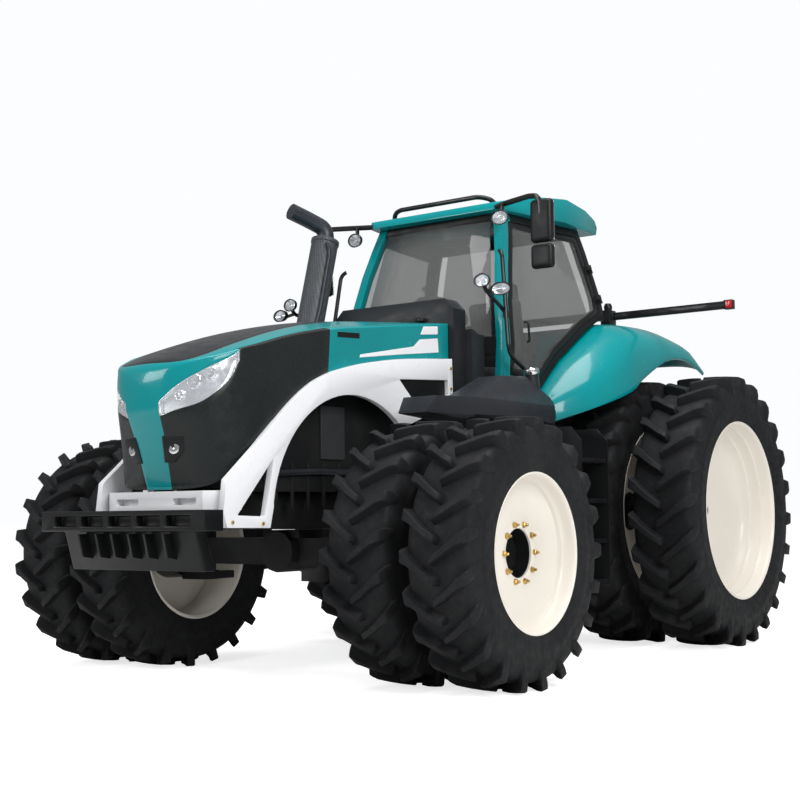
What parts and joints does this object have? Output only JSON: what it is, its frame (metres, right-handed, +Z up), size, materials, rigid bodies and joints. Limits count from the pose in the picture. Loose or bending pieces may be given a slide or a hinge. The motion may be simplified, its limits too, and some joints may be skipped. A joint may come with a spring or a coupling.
{
  "type": "farm tractor with dual wheels",
  "caption": "Four-wheel-drive farm tractor with twin front and rear wheels, hinged bonnet, glazed cab with opening doors, steered front axle and rear lifting hitch.",
  "frame": {"origin": "centre of the tractor's length and width, on the ground it stands on", "axes": "+X to the tractor's left, +Y rearward, +Z up"},
  "size_m": [3.604, 5.656, 3.3912],
  "materials": {
    "tyre_rubber": "black rubber, matt",
    "wheel_paint": "cream white paint, satin",
    "chassis_paint": "dark grey paint, satin",
    "carrier_paint": "black painted casting",
    "engine_iron": "dark grey painted casting",
    "white_paint": "white paint, gloss",
    "bonnet_teal": "teal paint, gloss",
    "grille_charcoal": "charcoal mesh",
    "lamp_lens": "clear lens",
    "cowl_plastic": "dark navy moulding",
    "cab_frame_teal": "teal paint, gloss",
    "roof_teal": "teal paint, gloss",
    "fender_teal": "teal paint, gloss",
    "cab_glass_tint": "smoked glass",
    "door_frame_black": "black paint, satin",
    "seat_fabric": "dark woven cloth",
    "controls_plastic": "dark grey plastic",
    "exhaust_steel": "perforated steel",
    "black_paint": "black paint, satin",
    "tank_plastic": "dark grey moulding"
  },
  "bodies": {
    "chassis": {"front_frame": "chassis_paint", "weight_carrier": "carrier_paint", "front_axle": "chassis_paint", "engine": "engine_iron", "transmission": "chassis_paint", "drawbar": "chassis_paint", "cowl": "cowl_plastic", "bumper": "white_paint", "cab_base": "cowl_plastic", "cab_frame": "cab_frame_teal", "cab_glass": "cab_glass_tint", "roof": "roof_teal", "seat": "seat_fabric", "controls": "controls_plastic", "exhaust": "exhaust_steel", "roof_rail": "black_paint", "mirrors": "black_paint", "lamp_brackets": "black_paint", "marker_arms": "black_paint", "ladders": "black_paint", "side_tanks": "tank_plastic", "side_frame_left": "white_paint", "side_frame_right": "white_paint", "fender_left": "fender_teal", "fender_right": "fender_teal"},
    "bonnet": {"bonnet_shell": "bonnet_teal", "bonnet_grilles": "grille_charcoal", "headlights": "lamp_lens"},
    "door_left": {"door_frame_left": "door_frame_black", "door_glass_left": "cab_glass_tint"},
    "door_right": {"door_frame_right": "door_frame_black", "door_glass_right": "cab_glass_tint"},
    "knuckle_left": {"knuckle_left": "chassis_paint"},
    "knuckle_right": {"knuckle_right": "chassis_paint"},
    "wheel_front_left": {"tyres_front_left": "tyre_rubber", "wheels_front_left": "wheel_paint"},
    "wheel_front_right": {"tyres_front_right": "tyre_rubber", "wheels_front_right": "wheel_paint"},
    "wheel_rear_left": {"tyres_rear_left": "tyre_rubber", "wheels_rear_left": "wheel_paint"},
    "wheel_rear_right": {"tyres_rear_right": "tyre_rubber", "wheels_rear_right": "wheel_paint"},
    "lower_links": {"lower_links": "chassis_paint"},
    "lift_arms": {"lift_arms": "chassis_paint"},
    "lift_rods": {"lift_rods": "chassis_paint"}
  },
  "joints": [
    {"name": "bonnet_hinge", "type": "hinge", "parent": "chassis", "child": "bonnet", "pos_m": [0, -0.278, 2.352], "axis": [-1, 0, 0], "range_deg": [0, 50]},
    {"name": "door_hinge_left", "type": "hinge", "parent": "chassis", "child": "door_left", "pos_m": [0.82667, 1.35, 2.64], "axis": [-0.2182, -0.1985, 0.9555], "range_deg": [0, 70]},
    {"name": "door_hinge_right", "type": "hinge", "parent": "chassis", "child": "door_right", "pos_m": [-0.82667, 1.35, 2.64], "axis": [-0.2182, 0.1985, -0.9555], "range_deg": [0, 70]},
    {"name": "steer_left", "type": "hinge", "parent": "chassis", "child": "knuckle_left", "pos_m": [0.775, -1.352, 0.77024], "axis": [0, 0, 1], "range_deg": [-30, 30]},
    {"name": "steer_right", "type": "hinge", "parent": "chassis", "child": "knuckle_right", "pos_m": [-0.775, -1.352, 0.77024], "axis": [0, 0, 1], "range_deg": [-30, 30]},
    {"name": "wheel_front_left_spin", "type": "hinge", "parent": "knuckle_left", "child": "wheel_front_left", "pos_m": [1.044, -1.352, 0.77024], "axis": [1, 0, 0], "continuous": true},
    {"name": "wheel_front_right_spin", "type": "hinge", "parent": "knuckle_right", "child": "wheel_front_right", "pos_m": [-1.044, -1.352, 0.77024], "axis": [1, 0, 0], "continuous": true},
    {"name": "wheel_rear_left_spin", "type": "hinge", "parent": "chassis", "child": "wheel_rear_left", "pos_m": [0.92, 1.698, 0.9994], "axis": [1, 0, 0], "continuous": true},
    {"name": "wheel_rear_right_spin", "type": "hinge", "parent": "chassis", "child": "wheel_rear_right", "pos_m": [-0.92, 1.698, 0.9994], "axis": [1, 0, 0], "continuous": true},
    {"name": "lower_link_hinge", "type": "hinge", "parent": "chassis", "child": "lower_links", "pos_m": [0, 1.858, 0.56], "axis": [1, 0, 0], "range_deg": [-18, 25]},
    {"name": "lift_arm_hinge", "type": "hinge", "parent": "chassis", "child": "lift_arms", "pos_m": [0, 1.828, 1.25], "axis": [1, 0, 0], "range_deg": [-18, 25]},
    {"name": "lift_rod_hinge", "type": "hinge", "parent": "lift_arms", "child": "lift_rods", "pos_m": [0, 2.348, 1.25], "axis": [1, 0, 0], "range_deg": [-25, 18]}
  ],
  "couplings": [
    {"joint": "steer_right", "follows": "steer_left", "ratio": 1},
    {"joint": "lift_arm_hinge", "follows": "lower_link_hinge", "ratio": 1},
    {"joint": "lift_rod_hinge", "follows": "lower_link_hinge", "ratio": -1}
  ]
}
